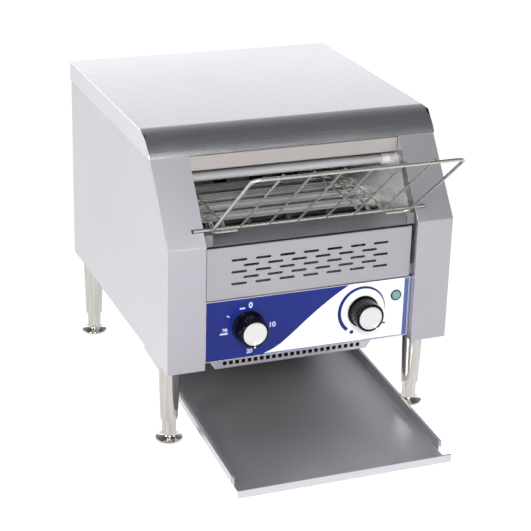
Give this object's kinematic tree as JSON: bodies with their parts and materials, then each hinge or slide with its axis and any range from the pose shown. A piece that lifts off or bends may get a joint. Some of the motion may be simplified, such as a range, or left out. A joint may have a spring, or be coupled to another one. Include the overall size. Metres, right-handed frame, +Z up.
{
  "type": "conveyor toaster",
  "caption": "Countertop conveyor toaster: sloped loading rack, wire belt between heater tubes, two control knobs, and a slide that returns toast to a pull-out tray.",
  "frame": {"origin": "centre of the whole footprint, rack, tray and cord gland included, on the worktop", "axes": "+X to the user's right when facing the controls, +Y from the front to the back, +Z up"},
  "size_m": [0.368, 0.554, 0.392],
  "materials": {
    "cover_steel": "brushed stainless sheet",
    "panel_steel": "brushed stainless sheet",
    "rear_steel": "brushed stainless sheet",
    "front_steel": "brushed stainless sheet",
    "pan_steel": "satin stainless sheet",
    "hood_steel": "satin stainless sheet",
    "ledge_steel": "bright stainless sheet",
    "inner_steel": "bright inner sheet",
    "reflector_steel": "polished reflector sheet",
    "chute_steel": "satin stainless sheet",
    "tray_steel": "satin stainless sheet",
    "overlay_film": "printed film, blue and white",
    "rack_wire": "bright wire",
    "belt_wire": "bright wire",
    "wheel_steel": "pressed steel",
    "shaft_steel": "ground steel",
    "bushing_bronze": "sintered bronze",
    "quartz": "frosted quartz",
    "coil_wire": "oxidised resistance wire",
    "ceramic": "unglazed white ceramic",
    "motor_paint": "dark satin paint",
    "bracket_steel": "zinc-plated sheet",
    "chain_steel": "oiled steel",
    "fan_plastic": "black moulded plastic",
    "knob_plastic": "glossy black plastic",
    "cap_metal": "spun aluminium disc",
    "spindle_metal": "turned brass",
    "switch_plastic": "dark moulded plastic",
    "board_laminate": "green circuit board",
    "lens_plastic": "clear green plastic",
    "bezel_plastic": "black plastic",
    "terminal_plastic": "moulded plastic",
    "gland_plastic": "black nylon",
    "leg_chrome": "bright plated steel",
    "screw_steel": "plated steel"
  },
  "bodies": {
    "housing": {"top_cover": "cover_steel", "side_panel_left": "panel_steel", "side_panel_right": "panel_steel", "rear_panel": "rear_steel", "base_pan": "pan_steel", "control_panel": "front_steel", "control_overlay": "overlay_film", "heat_guard": "front_steel", "feed_ledge": "ledge_steel", "hood_front": "hood_steel", "inner_wall_left": "inner_steel", "inner_wall_right": "inner_steel", "partition": "inner_steel", "upper_reflector": "reflector_steel", "lower_reflector": "reflector_steel", "rear_chute": "chute_steel", "toast_slide": "chute_steel", "conveyor_belt": "belt_wire", "shaft_bushings": "bushing_bronze", "upper_tubes": "quartz", "lower_tubes": "quartz", "heating_coils": "coil_wire", "ceramic_caps": "ceramic", "gear_motor": "motor_paint", "motor_bracket": "bracket_steel", "drive_chain": "chain_steel", "fan_frame": "fan_plastic", "selector_switch": "switch_plastic", "speed_potentiometer": "switch_plastic", "speed_controller": "board_laminate", "lamp_lens": "lens_plastic", "lamp_bezel": "bezel_plastic", "terminal_block": "terminal_plastic", "cord_gland": "gland_plastic", "legs": "leg_chrome", "leg_studs": "screw_steel", "rear_screws": "screw_steel", "motor_screws": "screw_steel"},
    "loading_rack": {"loading_rack": "rack_wire"},
    "tray": {"toast_tray": "tray_steel"},
    "drive_roller": {"drive_shaft": "shaft_steel", "drive_wheels": "wheel_steel", "driven_sprocket": "chain_steel"},
    "idler_roller": {"idler_shaft": "shaft_steel", "idler_wheels": "wheel_steel"},
    "motor_output": {"motor_shaft": "shaft_steel", "motor_sprocket": "chain_steel"},
    "fan": {"fan_rotor": "fan_plastic"},
    "selector": {"selector_knob": "knob_plastic", "selector_cap": "cap_metal", "selector_spindle": "spindle_metal"},
    "speed": {"speed_knob": "knob_plastic", "speed_cap": "cap_metal", "speed_spindle": "spindle_metal"},
    "foot_front_left": {"foot_front_left": "leg_chrome"},
    "foot_front_right": {"foot_front_right": "leg_chrome"},
    "foot_rear_left": {"foot_rear_left": "leg_chrome"},
    "foot_rear_right": {"foot_rear_right": "leg_chrome"}
  },
  "joints": [
    {"name": "drive_turn", "type": "hinge", "parent": "housing", "child": "drive_roller", "pos_m": [0, 0.179, 0.238], "axis": [-1, 0, 0], "continuous": true},
    {"name": "idler_turn", "type": "hinge", "parent": "housing", "child": "idler_roller", "pos_m": [0, -0.071, 0.238], "axis": [-1, 0, 0], "continuous": true},
    {"name": "motor_turn", "type": "hinge", "parent": "housing", "child": "motor_output", "pos_m": [0, 0.179, 0.16], "axis": [-1, 0, 0], "continuous": true},
    {"name": "fan_spin", "type": "hinge", "parent": "housing", "child": "fan", "pos_m": [0, 0.0435, 0.09], "axis": [0, 0, 1], "continuous": true},
    {"name": "selector_turn", "type": "hinge", "parent": "housing", "child": "selector", "pos_m": [-0.0785, -0.15, 0.157], "axis": [0, 1, 0], "range_deg": [0, 270]},
    {"name": "speed_turn", "type": "hinge", "parent": "housing", "child": "speed", "pos_m": [0.0715, -0.15, 0.157], "axis": [0, 1, 0], "range_deg": [-270, 0]},
    {"name": "rack_fold", "type": "hinge", "parent": "housing", "child": "loading_rack", "pos_m": [0, -0.14277, 0.285], "axis": [-1, 0, 0], "range_deg": [0, 84]},
    {"name": "tray_slide", "type": "slide", "parent": "housing", "child": "tray", "axis": [0, -0.9979, -0.0649], "range_m": [0, 0.06]},
    {"name": "front_left_foot_screw", "type": "slide", "parent": "housing", "child": "foot_front_left", "axis": [0, 0, -1], "range_m": [0, 0.015]},
    {"name": "front_right_foot_screw", "type": "slide", "parent": "housing", "child": "foot_front_right", "axis": [0, 0, -1], "range_m": [0, 0.015]},
    {"name": "rear_left_foot_screw", "type": "slide", "parent": "housing", "child": "foot_rear_left", "axis": [0, 0, -1], "range_m": [0, 0.015]},
    {"name": "rear_right_foot_screw", "type": "slide", "parent": "housing", "child": "foot_rear_right", "axis": [0, 0, -1], "range_m": [0, 0.015]}
  ],
  "couplings": [
    {"joint": "idler_turn", "follows": "drive_turn", "ratio": 1},
    {"joint": "motor_turn", "follows": "drive_turn", "ratio": 1.3333}
  ]
}
